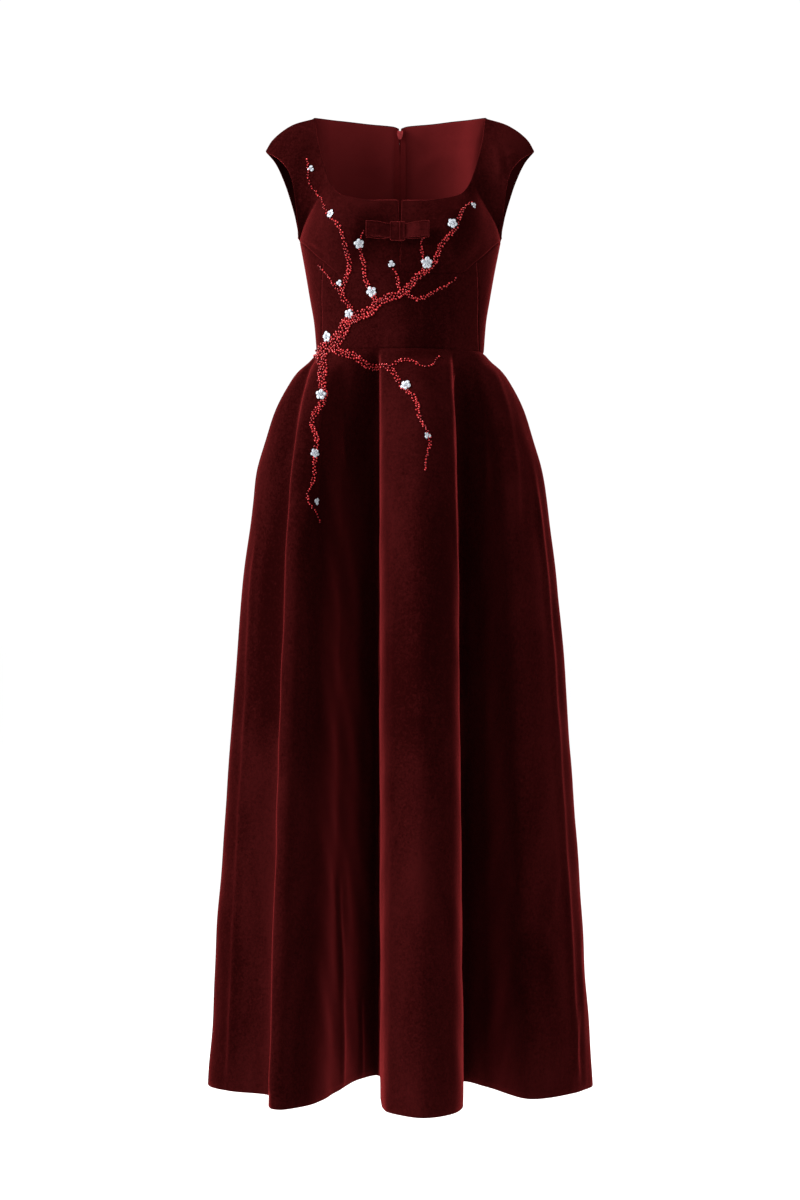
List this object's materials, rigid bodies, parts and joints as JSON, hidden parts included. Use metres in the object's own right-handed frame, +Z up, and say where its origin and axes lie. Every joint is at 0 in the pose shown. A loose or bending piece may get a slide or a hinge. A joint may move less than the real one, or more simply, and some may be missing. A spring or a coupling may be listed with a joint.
{
  "type": "full-length a-line dress",
  "caption": "Hollow worn form of a floor-length A-line velvet dress with cap sleeves, square neck, fitted midriff and deep soft skirt folds.",
  "frame": {"origin": "midway between the two shoulder seams, at the height of their neck ends, where the wearer holds the dress up", "axes": "+Z up, the front faces -Y, the wearer's left is +X"},
  "size_m": [0.557, 0.4785, 1.4023],
  "materials": {
    "velvet": "soft dark burgundy pile with a pale red sheen at grazing angles",
    "band": "same velvet, cut as a flat band",
    "zip_tape": "woven wine-red tape",
    "zip_metal": "enamelled wine red",
    "blossom": "pearly white organza petals",
    "beads": "bright red glass seed beads"
  },
  "bodies": {
    "dress": {"bust_left": "velvet", "bust_right": "velvet", "midriff_front": "velvet", "midriff_side_left": "velvet", "midriff_side_right": "velvet", "skirt_front": "velvet", "back_left": "velvet", "back_right": "velvet", "skirt_back_left": "velvet", "skirt_back_right": "velvet", "zip_tape_left": "zip_tape", "zip_tape_right": "zip_tape", "blossom_01": "blossom", "blossom_02": "blossom", "blossom_03": "blossom", "blossom_04": "blossom", "blossom_05": "blossom", "blossom_06": "blossom", "blossom_07": "blossom", "blossom_08": "blossom", "blossom_09": "blossom", "blossom_10": "blossom", "blossom_11": "blossom", "blossom_12": "blossom", "blossom_13": "blossom", "blossom_14": "blossom", "blossom_15": "blossom", "blossom_16": "blossom", "zip_slider": "zip_metal", "bow_left": "band", "bow_right": "band", "bow_knot": "band"},
    "pull": {"zip_pull": "zip_metal"}
  },
  "joints": [
    {"name": "pull_swing", "type": "hinge", "parent": "dress", "child": "pull", "pos_m": [0, 0.05635, -0.01291], "axis": [1, 0, 0], "range_deg": [0, 150]}
  ]
}
